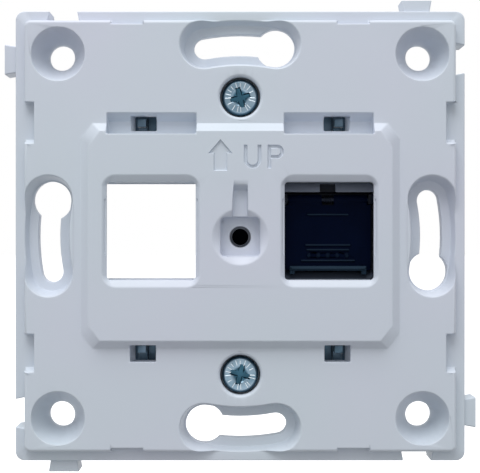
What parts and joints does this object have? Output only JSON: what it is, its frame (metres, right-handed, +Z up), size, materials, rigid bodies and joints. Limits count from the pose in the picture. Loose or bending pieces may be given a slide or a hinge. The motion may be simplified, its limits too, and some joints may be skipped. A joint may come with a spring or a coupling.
{
  "type": "ethernet socket insert",
  "caption": "Square flush-mount plate with two module ports, one holding a shuttered network jack, with wall-box claws and keyhole slots.",
  "frame": {"origin": "centre of the plate's back face, midway between the wall-box screws, on the wall plane", "axes": "front faces -Y, +X to the right seen from the front, +Z up"},
  "size_m": [0.0742, 0.0263, 0.0742],
  "materials": {
    "plate_plastic": "satin moulded",
    "jack_plastic": "satin moulded",
    "zinc_steel": "blue zinc plated",
    "insert_steel": "dark plated",
    "pin_steel": "bright",
    "contact_gold": "gold plated",
    "blade_tin": "tin plated",
    "sled_plastic": "satin",
    "board_laminate": "satin",
    "terminal_plastic": "satin"
  },
  "bodies": {
    "root": {"mounting_plate": "plate_plastic", "cover_screw_insert": "insert_steel", "jack_housing": "jack_plastic", "shutter_pin": "pin_steel", "shutter_spring": "pin_steel", "contact_sled": "sled_plastic", "jack_board": "board_laminate", "terminal_block": "terminal_plastic", "contact_1": "contact_gold", "contact_2": "contact_gold", "contact_3": "contact_gold", "contact_4": "contact_gold", "contact_5": "contact_gold", "contact_6": "contact_gold", "contact_7": "contact_gold", "contact_8": "contact_gold", "terminal_blade_1": "blade_tin", "terminal_blade_2": "blade_tin", "terminal_blade_3": "blade_tin", "terminal_blade_4": "blade_tin", "terminal_blade_5": "blade_tin", "terminal_blade_6": "blade_tin", "terminal_blade_7": "blade_tin", "terminal_blade_8": "blade_tin"},
    "claw_screw_upper": {"claw_screw_upper": "zinc_steel"},
    "claw_screw_lower": {"claw_screw_lower": "zinc_steel"},
    "claw_upper": {"claw_upper": "zinc_steel"},
    "claw_lower": {"claw_lower": "zinc_steel"},
    "jack_shutter": {"jack_shutter": "jack_plastic"}
  },
  "joints": [
    {"name": "upper_screw_turn", "type": "hinge", "parent": "root", "child": "claw_screw_upper", "pos_m": [0, 0, 0.0217], "axis": [0, 1, 0], "range_deg": [0, 688]},
    {"name": "lower_screw_turn", "type": "hinge", "parent": "root", "child": "claw_screw_lower", "pos_m": [0, 0, -0.0217], "axis": [0, 1, 0], "range_deg": [0, 688]},
    {"name": "upper_claw_swing", "type": "hinge", "parent": "root", "child": "claw_upper", "pos_m": [0, -0.0039, 0.01785], "axis": [1, 0, 0], "range_deg": [0, 20]},
    {"name": "lower_claw_swing", "type": "hinge", "parent": "root", "child": "claw_lower", "pos_m": [0, -0.0039, -0.01785], "axis": [-1, 0, 0], "range_deg": [0, 20]},
    {"name": "shutter_flip", "type": "hinge", "parent": "root", "child": "jack_shutter", "pos_m": [0.01385, -0.00327, 0.00581], "axis": [-1, 0, 0], "range_deg": [0, 90], "stiffness_Nm_per_rad": 0.001, "springref_deg": -28.65, "deforming": ["shutter_spring"]}
  ],
  "couplings": [
    {"joint": "upper_claw_swing", "follows": "upper_screw_turn", "ratio": 0.029},
    {"joint": "lower_claw_swing", "follows": "lower_screw_turn", "ratio": 0.029}
  ]
}
